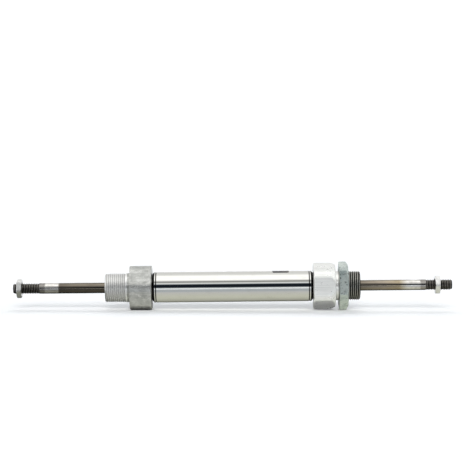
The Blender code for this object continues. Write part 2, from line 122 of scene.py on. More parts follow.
WHITE, COOL, NAVY = (1.0, 1.0, 0.985), (0.92, 0.98, 1.03), (0.5, 0.75, 1.15)
WARM = (1.0, 1.01, 0.86)
AMBIENT = (0.36, 0.38, 0.40)
BACKGROUND = 1.2
SOFT_LIGHTS = (  # name, strength, elevation, spread, and the side of the room it stands on
    ("front_light", 3.4, 21.0, 30.0, 0.0),
    ("back_light", 1.7, 42.0, 44.0, 180.0),
)
FLOOR_FRONT = -160.0
FLOOR_REACH = 4000.0
FLOOR_RISE = math.radians(0.70)  # the axis climbs to the right, over cap flat and nut corner
FLOOR_TILT = math.radians(2.5)  # the tabletop falls towards the front
REST_EDGE_Y = 9.4  # the rear edge of the left cap's lowest flat, where the tabletop touches
REST_GAP = 0.02
CAMERA_DISTANCE = 1200.0
CAMERA_AIM = Vector((3.7, 0.0, 37.2))
CAMERA_ROLL = math.radians(0.14)
FRAME_WIDTH = 360.0  # width of what the camera sees at the cylinder


# ---------------------------------------------------------------- mesh building

def angles_of(count):
    return 360.0 * np.arange(count) / count


def ring(x, radius, count):
    """One closed row of points. x and radius may differ from point to point."""
    turn = np.radians(angles_of(count))
    x = np.broadcast_to(x, count)
    radius = np.broadcast_to(radius, count)
    return np.stack([x, -radius * np.cos(turn), radius * np.sin(turn)], axis=1)


def soft_min(a, b, size):
    """The smaller of two radii, with the corner where they cross rounded off over size."""
    share = np.clip(0.5 + 0.5 * (b - a) / size, 0.0, 1.0)
    return b * (1 - share) + a * share - size * share * (1 - share)


def hexagon(across_flats, flat_angle, count):
    """Distance from the axis to a hexagon's side, at each angle."""
    off_flat = (angles_of(count) - flat_angle + 30.0) % 60.0 - 30.0
    return across_flats / 2 / np.cos(np.radians(off_flat))


def add_mesh(name, points, faces, material):
    """A smooth-shaded object from points in millimetres, with doubled points joined."""
    mesh = bpy.data.meshes.new(name)
    mesh.from_pydata((points * MM).tolist(), [], faces)
    builder = bmesh.new()
    builder.from_mesh(mesh)
    bmesh.ops.remove_doubles(builder, verts=builder.verts, dist=2e-6)
    bmesh.ops.dissolve_degenerate(builder, edges=builder.edges, dist=1e-7)
    bmesh.ops.recalc_face_normals(builder, faces=builder.faces)
    builder.to_mesh(mesh)
    builder.free()
    mesh.shade_smooth()
    mesh.set_sharp_from_angle(angle=math.radians(38))
    mesh.materials.append(material)
    piece = bpy.data.objects.new(name, mesh)
    bpy.context.scene.collection.objects.link(piece)
    return piece


def bridge(rows, closed=True):
    """Points and faces of a skin over rows of equal length, joined in order."""
    count = len(rows[0])
    points = np.concatenate(rows)
    faces = []
    last = len(rows) if closed else len(rows) - 1
    for i in range(last):
        here, there = i * count, (i + 1) % len(rows) * count
        for j in range(count):
            k = (j + 1) % count
            faces.append((here + j, here + k, there + k, there + j))
    return points, faces


def joined(parts):
    """Several (points, faces) skins as one."""
    points, faces, start = [], [], 0
    for some_points, some_faces in parts:
        points.append(some_points)
        faces += [tuple(start + i for i in face) for face in some_faces]
        start += len(some_points)
    return np.concatenate(points), faces


def filleted(corners, size=EDGE, steps=3):
    """A section's points with every marked corner rounded. corners are (x, radius) or
    (x, radius, size of its own rounding, 0 for a sharp one)."""
    made = []
    for i, corner in enumerate(corners):
        own = corner[2] if len(corner) > 2 else size
        here = np.array(corner[:2], float)
        before = np.array(corners[i - 1][:2], float) - here
        after = np.array(corners[(i + 1) % len(corners)][:2], float) - here
        room = 0.45 * min(np.linalg.norm(before), np.linalg.norm(after))
        own = min(own, room)
        if own < 1e-3:
            made.append(tuple(here))
            continue
        start = here + before / np.linalg.norm(before) * own
        end = here + after / np.linalg.norm(after) * own
        for t in np.linspace(0, 1, steps + 1):
            made.append(tuple((1 - t) ** 2 * start + 2 * t * (1 - t) * here + t * t * end))
    return made


def turned_rows(section, side, count):
    """Rows of a turned piece from its (x, radius) section, written for the right end."""
    return [ring(side * x, radius, count) for x, radius in section]


def thread_depth_share(phase):
    """0 on a thread's crest and 1 at its root, for a V with a narrow flat at both."""
    off_crest = np.abs((phase + 0.5) % 1.0 - 0.5) * 2
    return np.clip((off_crest - THREAD_FLAT) / (1 - 2 * THREAD_FLAT), 0.0, 1.0)


def thread_skin(side, start, end, crest, pitch, depth, count, lead_in, run_out, steps=10):
    """A real helical thread between two stations. Its rows follow the helix, so that crest and
    root run along edges. The thread fades in over run_out at its start and is cut away by a
    cone of lead_in at its end."""
    rise = pitch / steps
    first = -steps
    tip = crest - depth - THREAD_TIP
    rows = int(math.ceil((end - start) / rise)) + 1 - first
    turn_share = np.arange(count) / count
    grid = []
    for i in range(rows):
        x = np.clip(start + (first + i + steps * turn_share) * rise, start, end)
        share = thread_depth_share((x - start) / pitch - turn_share)
        fade = np.clip((x - start) / run_out, 0.0, 1.0)
        cone = tip + (end - x) / lead_in * (depth + THREAD_TIP)
        radius = np.minimum(crest - depth * share * fade, np.maximum(cone, tip))
        grid.append(ring(side * x, radius, count))
    points = np.concatenate(grid)
    faces = []
    for i in range(rows - 1):
        for j in range(count - 1):
            a = i * count + j
            faces.append((a, a + 1, a + count + 1, a + count))
        if i + steps + 1 < rows:
            a, b = i * count + count - 1, (i + steps) * count
            faces.append((a, b, b + count, a + count))
    return points, faces


# ---------------------------------------------------------------- material building

class Nodes:
    """Short-hand for building one material's node tree."""

    def __init__(self, name):
        self.material = bpy.data.materials.new(name)
        self.material.use_nodes = True
        self.tree = self.material.node_tree
        self.shader = self.tree.nodes["Principled BSDF"]
        self.place = self.tree.nodes.new("ShaderNodeTexCoord").outputs["Object"]
        self.axes = self.add("ShaderNodeSeparateXYZ", {0: self.place})

    def add(self, kind, inputs=None, **settings):
        node = self.tree.nodes.new(kind)
        for key, value in settings.items():
            setattr(node, key, value)
        for key, value in (inputs or {}).items():
            if isinstance(value, bpy.types.NodeSocket):
                self.tree.links.new(value, node.inputs[key])
            else:
                node.inputs[key].default_value = value
        return node

    def math(self, operation, *values, clamp=False):
        node = self.add("ShaderNodeMath", dict(enumerate(values)), operation=operation)
        node.use_clamp = clamp
        return node.outputs[0]

    def stretched(self, scale):
        """The object's coordinates in metres, multiplied axis by axis."""
        node = self.add("ShaderNodeMapping", {"Vector": self.place, "Scale": scale})
        return node.outputs[0]

    def noise(self, scale, detail=3.0, rough=0.55, seed=0.0):
        """Noise from 0 to 1. scale is its frequency per metre along X, Y and Z."""
        node = self.add("ShaderNodeTexNoise",
                        {"Vector": self.stretched(scale), "W": seed, "Scale": 1.0,
                         "Detail": detail, "Roughness": rough},
                        noise_dimensions="4D")
        return node.outputs["Fac"]

    def radius(self):
        """Distance from the cylinder's axis, in metres."""
        y, z = self.axes.outputs[1], self.axes.outputs[2]
        total = self.math("ADD", self.math("MULTIPLY", y, y), self.math("MULTIPLY", z, z))
        return self.math("SQRT", total)

    def ramp(self, value, stops, mode="LINEAR"):
        """A colour for a value from 0 to 1. stops are (position, (r, g, b))."""
        node = self.add("ShaderNodeValToRGB", {0: value})
        node.color_ramp.interpolation = mode
        elements = node.color_ramp.elements
        elements[0].position, elements[-1].position = stops[0][0], stops[-1][0]
        for position, _ in stops[1:-1]:
            elements.new(position)
        for element, (_, colour) in zip(elements, stops):
            element.color = (*colour, 1.0)
        return node.outputs[0]

    def range(self, value, from_low, from_high, to_low=0.0, to_high=1.0):
        node = self.add("ShaderNodeMapRange", {0: value, 1: from_low, 2: from_high,
                                               3: to_low, 4: to_high})
        return node.outputs[0]

    def mix(self, share, a, b, blend="MIX"):
        node = self.add("ShaderNodeMix", {0: share}, data_type="RGBA", blend_type=blend)
        for key, value in ((6, a), (7, b)):
            if isinstance(value, bpy.types.NodeSocket):
                self.tree.links.new(value, node.inputs[key])
            else:
                node.inputs[key].default_value = (*value, 1.0)
        return node.outputs[2]

    def bump(self, height, distance, strength=1.0, below=None):
        """Bump from a height of 0 to 1 that stands for distance in metres."""
        inputs = {"Height": height, "Distance": distance, "Strength": strength}
        if below is not None:
            inputs["Normal"] = below
        return self.add("ShaderNodeBump", inputs).outputs[0]

    def finish(self, metallic=1.0, **sockets):
        """Connect or set the shader's sockets and return the material."""
        names = {"colour": "Base Color", "roughness": "Roughness", "normal": "Normal",
                 "anisotropic": "Anisotropic"}
        self.shader.inputs["Metallic"].default_value = metallic
        for key, value in sockets.items():
            socket = self.shader.inputs[names[key]]
            if isinstance(value, bpy.types.NodeSocket):
                self.tree.links.new(value, socket)
            else:
                socket.default_value = (*value, 1.0) if key == "colour" else value
        return self.material


def grey(value, tint=(1.0, 1.0, 1.0)):
    return tuple(value * t for t in tint)


def stainless_material():
    """Polished tube: faint draw lines along the axis, soft waves and a few stains. The curled
    lips and the rolled groove are painted near black as painted shade.
    """
    n = Nodes("polished_stainless")
    lines = n.noise((9.0, 2600.0, 2600.0), detail=2.0, seed=1.0)
    waves = n.noise((22.0, 60.0, 60.0), detail=1.0, seed=2.0)
    stains = n.noise((90.0, 260.0, 260.0), detail=5.0, rough=0.65, seed=3.0)
    scratches = n.noise((55.0, 5200.0, 5200.0), detail=1.0, seed=4.0)
    colour = n.ramp(stains, [(0.0, (0.60, 0.60, 0.56)), (0.42, (0.75, 0.75, 0.72)),
                             (1.0, (0.80, 0.80, 0.785))])
    rough = n.math("ADD", n.range(lines, 0.3, 0.7, 0.03, 0.06),
                   n.range(scratches, 0.62, 0.75, 0.0, 0.10))
    from_middle = n.math("ABSOLUTE", n.axes.outputs[0])
    # Painted shade: the curled lip at each end and the rolled groove are darkened to near black
    # and made rougher.
    lip = n.range(from_middle, (TUBE_END - 1.95) * MM, (TUBE_END - 1.75) * MM)
    off_groove = n.math("ABSOLUTE", n.math("SUBTRACT", from_middle, ROLL_GROOVE * MM))
    painted_shade_lip_groove = n.math("MAXIMUM", lip, n.range(off_groove, 0.00045, 0.00032), clamp=True)
    colour = n.mix(painted_shade_lip_groove, colour, (0.002, 0.002, 0.002))
    rough = n.math("ADD", rough, n.math("MULTIPLY", painted_shade_lip_groove, 0.4))
    normal = n.bump(lines, 0.0000008, below=n.bump(waves, 0.00004))
    return n.finish(colour=colour, roughness=rough, normal=normal)


def cap_material(name, light, dark, scuff, collar_rough, metallic):
    """Extruded and turned aluminium: streaks along the flats, scuffs and blotches."""
    n = Nodes(name)
    streaks = n.noise((24.0, 2100.0, 2100.0), detail=3.0, seed=5.0)
    blotches = n.noise((170.0, 300.0, 300.0), detail=6.0, rough=0.7, seed=6.0)
    grain = n.noise((2400.0, 2400.0, 2400.0), detail=2.0, seed=7.0)
    lathe = n.noise((6500.0, 90.0, 90.0), detail=1.0, seed=8.0)
    share = n.math("ADD", n.math("MULTIPLY", blotches, scuff),
                   n.math("MULTIPLY", streaks, 1.0 - scuff))
    colour = n.ramp(share, [(0.36, dark), (0.58, light)])
    rough = n.range(blotches, 0.3, 0.7, 0.38, 0.24)
    from_middle = n.math("ABSOLUTE", n.axes.outputs[0])
    collar = n.range(from_middle, CAP_SHOULDER * MM, (CAP_SHOULDER + 0.2) * MM)
    rough = n.add("ShaderNodeMix", {0: collar, 2: rough, 3: collar_rough}).outputs[0]
    normal = n.bump(streaks, 0.00001, below=n.bump(grain, 0.000012))
    normal = n.bump(lathe, 0.000003, below=normal)
    return n.finish(metallic=metallic, colour=colour, roughness=rough, normal=normal)


def nose_material(name, crest, groove, groove_rough, crest_radius, metallic=1.0):
    """A thread's metal on its crests, darker towards its roots: painted shade in the grooves."""
    n = Nodes(name)
    grain = n.noise((1500.0, 1500.0, 1500.0), detail=4.0, seed=9.0)
    lathe = n.noise((5200.0, 60.0, 60.0), detail=1.0, seed=10.0)
    # Painted shade: the colour darkens from the crest down into the thread's grooves.
    depth = n.range(n.radius(), crest_radius - 0.0005, crest_radius - 0.00012)
    share = n.math("ADD", depth, n.range(grain, 0.3, 0.7, -0.16, 0.16), clamp=True)
    colour = n.mix(share, groove, crest)
    rough = n.range(share, 0.0, 1.0, groove_rough, 0.3)
    normal = n.bump(lathe, 0.000004, below=n.bump(grain, 0.000008))
    return n.finish(metallic=metallic, colour=colour, roughness=rough, normal=normal)


def galvanised_material():
    """The large nut: dull zinc with dark spots and a slightly lumpy coat."""
    n = Nodes("galvanised_nut")
    spots = n.noise((620.0, 620.0, 620.0), detail=5.0, rough=0.7, seed=11.0)
    patches = n.noise((140.0, 140.0, 140.0), detail=2.0, seed=12.0)
    colour = n.mix(n.range(patches, 0.35, 0.65), (0.46, 0.53, 0.515), (0.70, 0.76, 0.73))
    colour = n.mix(n.range(spots, 0.56, 0.64), colour, (0.07, 0.085, 0.085))
    rough = n.range(spots, 0.3, 0.7, 0.30, 0.50)
    normal = n.bump(spots, 0.00005, below=n.bump(patches, 0.00008))
    return n.finish(metallic=0.93, colour=colour, roughness=rough, normal=normal)


def zinc_material():
    """The thin rod nuts: bright zinc, nearly white, slightly brushed."""
    n = Nodes("zinc_rod_nut")
    brushing = n.noise((900.0, 5200.0, 5200.0), detail=2.0, seed=13.0)
    patches = n.noise((420.0, 420.0, 420.0), detail=3.0, seed=14.0)
    colour = n.ramp(patches, [(0.3, (0.70, 0.70, 0.69)), (0.6, (0.90, 0.90, 0.89))])
    rough = n.range(brushing, 0.3, 0.7, 0.22, 0.42)
    normal = n.bump(brushing, 0.000006)
    return n.finish(colour=colour, roughness=rough, normal=normal)


def rod_material():
    """Ground steel, stained brown over most of its length and bright near both ends."""
    n = Nodes("stained_rod_steel")
    x = n.axes.outputs[0]
    half = ROD_END * MM
    along = n.range(x, -half, half)

    def at(x_mm):
        return (x_mm + ROD_END) / (2 * ROD_END)

    brown, dark = (0.21, 0.185, 0.15), (0.15, 0.13, 0.11)
    gold, bright = (0.42, 0.35, 0.24), (0.80, 0.78, 0.75)
    ring_start, flats = ROD_FLATS - 10.0, ROD_FLATS
    colour = n.ramp(along, [
        (at(-flats), (0.42, 0.40, 0.38)),
        (at(-flats) + 0.001, bright),
        (at(-ring_start) - 0.0015, bright),
        (at(-ring_start), dark),
        (at(-ring_start + 14), brown),
        (at(NOSE_END), brown),
        (at(NOSE_END + 18), (0.36, 0.31, 0.25)),
        (at(NOSE_END + 30), gold),
        (at(ring_start + 1), bright),
        (at(flats) - 0.001, bright),
        (at(flats), (0.42, 0.40, 0.38)),
    ])
    streaks = n.noise((30.0, 1900.0, 1900.0), detail=4.0, seed=15.0)
    blotches = n.noise((160.0, 500.0, 500.0), detail=5.0, rough=0.7, seed=16.0)
    colour = n.mix(n.range(blotches, 0.45, 0.75, 0.0, 0.45), colour, (0.09, 0.07, 0.055))
    rough = n.range(streaks, 0.3, 0.7, 0.05, 0.11)
    normal = n.bump(streaks, 0.000004)
    return n.finish(colour=colour, roughness=rough, normal=normal)


def simple_material(name, light, dark, rough, metallic=0.0, size=700.0, lump=0.00001):
    """A plain material with fine grain, for seals, bushes and the piston."""
    n = Nodes(name)
    grain = n.noise((size, size, size), detail=4.0, rough=0.6, seed=17.0)
    colour = n.ramp(grain, [(0.3, dark), (0.7, light)])
    roughness = n.range(grain, 0.3, 0.7, rough - 0.06, rough + 0.06)
    return n.finish(metallic=metallic, colour=colour, roughness=roughness,
                    normal=n.bump(grain, lump))


def label_material():
    """Black film with a red band and pale rules where print would be."""
    n = Nodes("label_film")
    along = n.range(n.axes.outputs[0], LABEL_LOW.x * MM, LABEL_HIGH.x * MM)
    black, red, pale = (0.012, 0.012, 0.014), (0.42, 0.02, 0.025), (0.62, 0.62, 0.60)
    bands = n.ramp(along, [(0.0, black), (0.30, red), (0.42, black), (0.56, pale),
                           (0.59, black), (0.68, pale), (0.71, black), (0.80, pale),
                           (0.83, black)], mode="CONSTANT")
    border = n.ramp(along, [(0.0, black), (0.5, black), (1.0, (0.045, 0.034, 0.028))])
    colour = n.mix(n.range(n.axes.outputs[1], 0.0005, 0.0006), border, bands)
    scuffs = n.noise((900.0, 900.0, 900.0), detail=5.0, seed=18.0)
    colour = n.mix(n.range(scuffs, 0.6, 0.75, 0.0, 0.35), colour, (0.25, 0.24, 0.23))
    rough = n.range(scuffs, 0.3, 0.7, 0.26, 0.5)
    return n.finish(metallic=0.0, colour=colour, roughness=rough,
                    normal=n.bump(scuffs, 0.000005))


# ---------------------------------------------------------------- the barrel

def make_tube():
    """The barrel: a shallow rolled groove and a curled lip at each end."""
    curl_size = 1.2
    curl_centre = TUBE_END - 2.0
    curl = [(curl_centre + curl_size * math.sin(t), TUBE_RADIUS - curl_size * (1 - math.cos(t)))
            for t in np.radians(np.linspace(0, 80, 9))]
    groove = [(ROLL_GROOVE + 0.36 * math.cos(t), TUBE_RADIUS - 0.28 * math.sin(t))
              for t in np.radians(np.linspace(180, 0, 9))]
    outer = [(0.0, TUBE_RADIUS), (28.0, TUBE_RADIUS), (56.8, TUBE_RADIUS), *groove, *curl,
             (TUBE_END, LIP_RADIUS + 0.65), (TUBE_END - 0.1, LIP_RADIUS + 0.05),
             (TUBE_END - 0.6, LIP_RADIUS), (curl_centre, BORE_RADIUS), (28.0, BORE_RADIUS)]
    right = turned_rows(outer, RIGHT, ROUND)
    left = turned_rows(outer[1:], LEFT, ROUND)[::-1]
    middle_bore = ring(0.0, BORE_RADIUS, ROUND)
    points, faces = bridge(right + [middle_bore] + left)
    piece = add_mesh("barrel_shell", points, faces, stainless_material())
    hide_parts("barrel_tube")
    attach(piece, "barrel")


def make_label():
    """A thin film on the barrel with rounded corners, where the CAD label stands."""
    low, high = LABEL_LOW, LABEL_HIGH
    top = math.degrees(math.acos(-low.y / high.z))
    bottom = math.degrees(math.atan2(low.z, -high.y))
    rows, corner = [], 1.2
    height = math.radians(bottom - top) * TUBE_RADIUS
    columns, lines, thick = 40, 60, 0.09
    for level in (TUBE_RADIUS + 0.012, TUBE_RADIUS + thick):
        for i in range(lines + 1):
            along = height * i / lines
            inset = max(0.0, corner - min(along, height - along))
            cut = corner - math.sqrt(max(0.0, corner ** 2 - inset ** 2))
            x = np.linspace(low.x + cut, high.x - cut, columns)
            turn = math.radians(top) + along / TUBE_RADIUS
            row = np.stack([x, np.full(columns, -level * math.cos(turn)),
                            np.full(columns, level * math.sin(turn))], axis=1)
            rows.append(row)
    points = np.concatenate(rows)
    faces = []
    layer = (lines + 1) * columns
    for i in range(lines):
        for j in range(columns - 1):
            a = i * columns + j
            faces.append((a, a + 1, a + columns + 1, a + columns))
            faces.append(tuple(layer + b for b in (a, a + columns, a + columns + 1, a + 1)))
    border = list(range(columns))
    border += [i * columns + columns - 1 for i in range(1, lines + 1)]
    border += [lines * columns + j for j in range(columns - 2, -1, -1)]
    border += [i * columns for i in range(lines - 1, 0, -1)]
    for a, b in zip(border, border[1:] + border[:1]):
        faces.append((a, b, layer + b, layer + a))
    piece = add_mesh("barrel_sticker", points, faces, label_material())
    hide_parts("barrel_label")
    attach(piece, "barrel")


# ---------------------------------------------------------------- the end caps

def cap_radius(end, x):
    """A cap's outline at station x: a hexagon whose corners and ends are turned."""
    axial, radial = CAP_INNER_CHAMFER
    chamfer_in = CAP_CORNER_RADIUS - radial + (x - CAP_INNER) / axial * radial
    axial, radial = CAP_OUTER_CHAMFER[end]
    chamfer_out = CAP_CORNER_RADIUS - radial + (CAP_SHOULDER - x) / axial * radial
    turned = min(CAP_CORNER_RADIUS, chamfer_in, chamfer_out)
    return soft_min(hexagon(CAP_ACROSS_FLATS, CAP_FLAT[end], ROUND), turned, 0.35)


def edge_rows(side, radius_at, x_end, inward, size=EDGE, count=ROUND, steps=4):
    """Rows that round the edge between a piece's side and the flat face at x_end. inward is the
    way from that face into the metal, and rows run from the side to the face."""
    rows = []
    for t in np.radians(np.linspace(0, 90, steps + 1)):
        x = x_end + inward * size * (1 - math.sin(t))
        rows.append(ring(side * x, radius_at(x) - size * (1 - math.cos(t)), count))
    return rows


def cap_rows(end):
    """Rows of a cap from its chamber mouth, over the spigot and hexagon, to the nose thread."""
    side = SIDES[end]
    groove_start, groove_end, groove_radius = 52.4, 54.8, 8.0
    spigot = filleted([(SPIGOT_FACE, CHAMBER_RADIUS), (SPIGOT_FACE, 9.2),
                       (SPIGOT_FACE + 0.5, SPIGOT_RADIUS), (groove_start, SPIGOT_RADIUS),
                       (groove_start, groove_radius), (groove_end, groove_radius),
                       (groove_end, SPIGOT_RADIUS), (58.6, SPIGOT_RADIUS),
                       (59.0, SPIGOT_NECK_RADIUS), (CAP_INNER, SPIGOT_NECK_RADIUS, 0.0)])
    rows = turned_rows(spigot[:-1], side, ROUND)

    def outline(x):
        return cap_radius(end, x)

    for share in (0.0, 0.3, 0.6, 0.85, 0.97):
        reach = outline(CAP_INNER) - EDGE - SPIGOT_NECK_RADIUS
        rows.append(ring(side * CAP_INNER, SPIGOT_NECK_RADIUS + share * reach, ROUND))
    rows += edge_rows(side, outline, CAP_INNER, 1)[::-1]
    stations = np.concatenate([np.linspace(0.3, 1.6, 7), np.linspace(2.6, 13.0, 8),
                               np.linspace(13.2, 16.1, 16)])
    rows += [ring(side * (CAP_INNER + s), outline(CAP_INNER + s), ROUND) for s in stations]
    rows += edge_rows(side, outline, CAP_SHOULDER, -1)
    for share in (0.97, 0.85, 0.6, 0.3, 0.06, 0.0):
        reach = outline(CAP_SHOULDER) - EDGE - NOSE_RADIUS
        rows.append(ring(side * CAP_SHOULDER, NOSE_RADIUS + share * reach, ROUND))
    for x in np.linspace(CAP_SHOULDER + 0.1, NOSE_THREAD, 8):
        rows.append(ring(side * x, NOSE_RADIUS, ROUND))
    return rows


def nose_bore_rows(end):
    """Rows from the end of the nose thread, over its mouth and down the bore to the chamber."""
    tip = NOSE_RADIUS - M22_DEPTH - THREAD_TIP
    inside = filleted([(NOSE_END, tip, 0.12), (NOSE_END, 6.6),
                       (94.4, 6.6), (94.4, 7.7), (92.2, 7.7), (92.2, 7.0), (87.2, 7.0),
                       (87.2, 4.6), (86.0, 4.6), (86.0, 6.3), (74.5, 6.3), (74.5, 7.0),
                       (SPIGOT_FACE, CHAMBER_RADIUS, 0.0)], size=0.15)
    inside[0] = (NOSE_END, tip)
    return turned_rows(inside, SIDES[end], ROUND)


def drill_port(piece, end):
    """Cut the air port, with a small countersink, through the flat that faces away."""
    turn = math.radians(PORT_ANGLE[end])
    along = Vector((0.0, -math.cos(turn), math.sin(turn)))
    face, floor, clear = CAP_ACROSS_FLATS / 2, 5.0, 3.0
    sink_radius = PORT_RADIUS + 1.0
    profile = [(floor, 0.0), (floor, PORT_RADIUS), (face - 0.7, PORT_RADIUS),
               (face + 0.3, sink_radius), (face + clear, sink_radius), (face + clear, 0.0)]
    points, faces = bridge([ring(x, r, 64) for x, r in profile], closed=False)
    cutter = add_mesh(f"{end}_port_drill", points, faces, piece.data.materials[0])
    middle = SIDES[end] * (CAP_INNER + CAP_SHOULDER) / 2 * MM
    cutter.matrix_world = (Matrix.Translation((middle, 0.0, 0.0))
                           @ along.to_track_quat("X", "Z").to_matrix().to_4x4())
    boolean = piece.modifiers.new("port", "BOOLEAN")
    boolean.operation = "DIFFERENCE"
    boolean.solver = "EXACT"
    boolean.object = cutter
    bpy.context.view_layer.update()
    cut_mesh = bpy.data.meshes.new_from_object(
        piece.evaluated_get(bpy.context.evaluated_depsgraph_get()))
    piece.modifiers.clear()
    piece.data = cut_mesh
    bpy.data.objects.remove(cutter)


def make_cap(end, material, nose):
    """One end cap with its helical nose thread, in one mesh with two materials."""
    side = SIDES[end]
    body = cap_rows(end)
    body_skin = bridge(body, closed=False)
    thread = thread_skin(side, NOSE_THREAD, NOSE_END, NOSE_RADIUS, M22_PITCH, M22_DEPTH, ROUND,
                         lead_in=1.1, run_out=0.8)
    bore_skin = bridge(nose_bore_rows(end), closed=False)
    points, faces = joined([body_skin, thread, bore_skin])
    piece = add_mesh(f"{end}_cap_body", points, faces, material)
    drill_port(piece, end)
    piece.data.materials.append(nose)
    # The nose finish starts 0.65 mm before the thread. On the right cap its dark colour there is
    # painted shade in the gap next to the nut.
    start = (NOSE_THREAD - 0.65) * MM
    for polygon in piece.data.polygons:
        centre = polygon.center
        outside = math.hypot(centre.y, centre.z) > SPIGOT_RADIUS * MM
        polygon.material_index = 1 if abs(centre.x) > start and outside else 0
    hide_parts(f"{end}_end_cap")
    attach(piece, "barrel")


def make_wiper(end, material):
    """The rubber wiper in the nose's mouth, with its scraping lip on the rod."""
    face, lip = NOSE_END - 0.5, NOSE_END - 0.1
    section = filleted([(92.5, 4.65), (92.5, 7.4), (94.1, 7.4), (94.1, 6.3), (face, 6.3),
                        (face, 5.3), (lip, 4.06, 0.05), (lip - 0.8, 4.06, 0.05)], size=0.25)
    points, faces = bridge(turned_rows(section, SIDES[end], ROUND_SMALL))
    piece = add_mesh(f"{end}_wiper_ring", points, faces, material)
    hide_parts(f"{end}_rod_wiper")
    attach(piece, "barrel")


# ---------------------------------------------------------------- the rod

def rod_outline(x, count):
    """The rod's radius at a station between its threads, with its two spanner flats."""
    full = np.full(count, ROD_RADIUS)
    if ROD_FLATS < abs(x) < ROD_THREAD:
        off_flat = (angles_of(count) - ROD_FLAT_ANGLE + 90.0) % 180.0 - 90.0
        flat = ROD_ACROSS_FLATS / 2 / np.maximum(np.cos(np.radians(off_flat)), 0.05)
        return soft_min(flat, full, 0.06)
    return full


def make_rod():
    """The through rod: polished middle, spanner flats and helical threads."""
    count = ROUND_SMALL
    plain_end, step = ROD_THREAD - 0.2, 0.02  # step is the wall at each end of the flats
    plain = []
    for start, end, steps in ((-plain_end, -ROD_FLATS, 6), (-ROD_FLATS, ROD_FLATS, 60),
                              (ROD_FLATS, plain_end, 6)):
        plain += list(np.linspace(start, end - step, steps)) + [end + step]
    parts = [bridge([ring(x, rod_outline(x, count), count) for x in plain], closed=False)]
    tip = ROD_RADIUS - M8_DEPTH - THREAD_TIP
    for side in SIDES.values():
        end_face = filleted([(ROD_END, tip, 0.0), (ROD_END, tip * 0.6, 0.0),
                             (ROD_END - 0.5, 0.9), (ROD_END - 1.0, 0.0)], size=0.1)
        near = rod_outline(ROD_THREAD - 0.1, count)
        parts.append(bridge([ring(side * (ROD_THREAD - 0.18), near, count),
                             ring(side * ROD_THREAD, ROD_RADIUS - 0.12, count)], closed=False))
        parts.append(thread_skin(side, ROD_THREAD, ROD_END, ROD_RADIUS - 0.04, M8_PITCH,
                                 M8_DEPTH, count, lead_in=1.0, run_out=1.0))
        parts.append(bridge(turned_rows(end_face, side, count), closed=False))
    points, faces = joined(parts)
    piece = add_mesh("rod_bar", points, faces, rod_material())
    piece.data.materials.append(
        nose_material("dark_rod_thread", (0.32, 0.30, 0.28), (0.006, 0.006, 0.006), 0.55,
                      ROD_RADIUS * MM))
    for polygon in piece.data.polygons:
        polygon.material_index = int(abs(polygon.center.x) > (ROD_THREAD + 0.01) * MM)
    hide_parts("piston_rod")
    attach(piece, "rod")


# ---------------------------------------------------------------- the nuts

def make_nut(name, node, body, across_flats, corner, bore, chamfers, count, material):
    """A hexagon nut between its CAD node's two faces. chamfers are (axial, radial) at the
    face towards -X and at the face towards +X."""
    low, high = box_mm(node)
    flats = hexagon(across_flats, corner + 30.0, count)
    reach = across_flats / 2 / math.cos(math.radians(30))
    (low_axial, low_radial), (high_axial, high_radial) = chamfers
    sink = 0.8  # the bore's countersink
    mouth = bore + sink

    def outline(x):
        cone_low = reach - low_radial + (x - low.x) / low_axial * low_radial
        cone_high = reach - high_radial + (high.x - x) / high_axial * high_radial
        return soft_min(flats, min(cone_low, cone_high, reach + 1), 0.22)

    def face_rows(x_end):
        reach_out = outline(x_end) - NUT_EDGE - mouth
        return [ring(x_end, mouth + share * reach_out, count) for share in (0.0, 0.1, 0.5, 0.9)]

    rows = [ring(low.x + sink, bore, count)] + face_rows(low.x)
    rows += edge_rows(RIGHT, outline, low.x, 1, NUT_EDGE, count)[::-1]
    for x in np.linspace(low.x + 0.2, high.x - 0.2, 26):
        rows.append(ring(x, outline(x), count))
    rows += edge_rows(RIGHT, outline, high.x, -1, NUT_EDGE, count)
    rows += face_rows(high.x)[::-1] + [ring(high.x - sink, bore, count)]
    points, faces = bridge(rows)
    piece = add_mesh(name, points, faces, material)
    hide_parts(node)
    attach(piece, body)


# ---------------------------------------------------------------- inner pieces kept from the CAD

def paint_inner_pieces():
    """Give every CAD node that stays in view a finish of its own."""
    finishes = {
        "black_rubber": simple_material("black_rubber", (0.03, 0.03, 0.032),
                                        (0.012, 0.012, 0.012), 0.5),
        "amber_polyurethane": simple_material("amber_polyurethane", (0.50, 0.27, 0.07),
                                              (0.36, 0.17, 0.03), 0.4),
        "sintered_bronze": simple_material("sintered_bronze", (0.62, 0.42, 0.20),
                                           (0.30, 0.18, 0.08), 0.42, 1.0, 2600.0, 0.00002),
        "piston_aluminium": simple_material("piston_aluminium", (0.74, 0.74, 0.75),
                                            (0.58, 0.58, 0.60), 0.33, 1.0, 900.0),
        "bonded_ferrite": simple_material("bonded_ferrite", (0.05, 0.05, 0.055),
                                          (0.02, 0.02, 0.022), 0.65),
        "filled_ptfe": simple_material("filled_ptfe", (0.14, 0.20, 0.17),
                                       (0.08, 0.12, 0.10), 0.5),
        "spring_steel": simple_material("spring_steel", (0.28, 0.28, 0.29),
                                        (0.12, 0.12, 0.12), 0.35, 1.0),
    }
    for part in frame["record"]["subparts"]:
        node = frame["nodes"][part["node"]]
        if part["material_slot"] in finishes and not node.hide_render:
            node.data.materials.clear()
            node.data.materials.append(finishes[part["material_slot"]])
    return finishes


# ---------------------------------------------------------------- floor, light and camera

def floor_point(x, y, above=0.0):
    """A point on the tabletop. It touches the rear edge of the left cap's lowest flat. Its tilt
    towards the front leaves up to about 1 mm open under the rest of the cylinder."""
    drop = math.tan(FLOOR_RISE) * (x + CAP_SHOULDER) - math.tan(FLOOR_TILT) * (y - REST_EDGE_Y)
    return x * MM, y * MM, (-CAP_ACROSS_FLATS / 2 - drop - REST_GAP + above) * MM


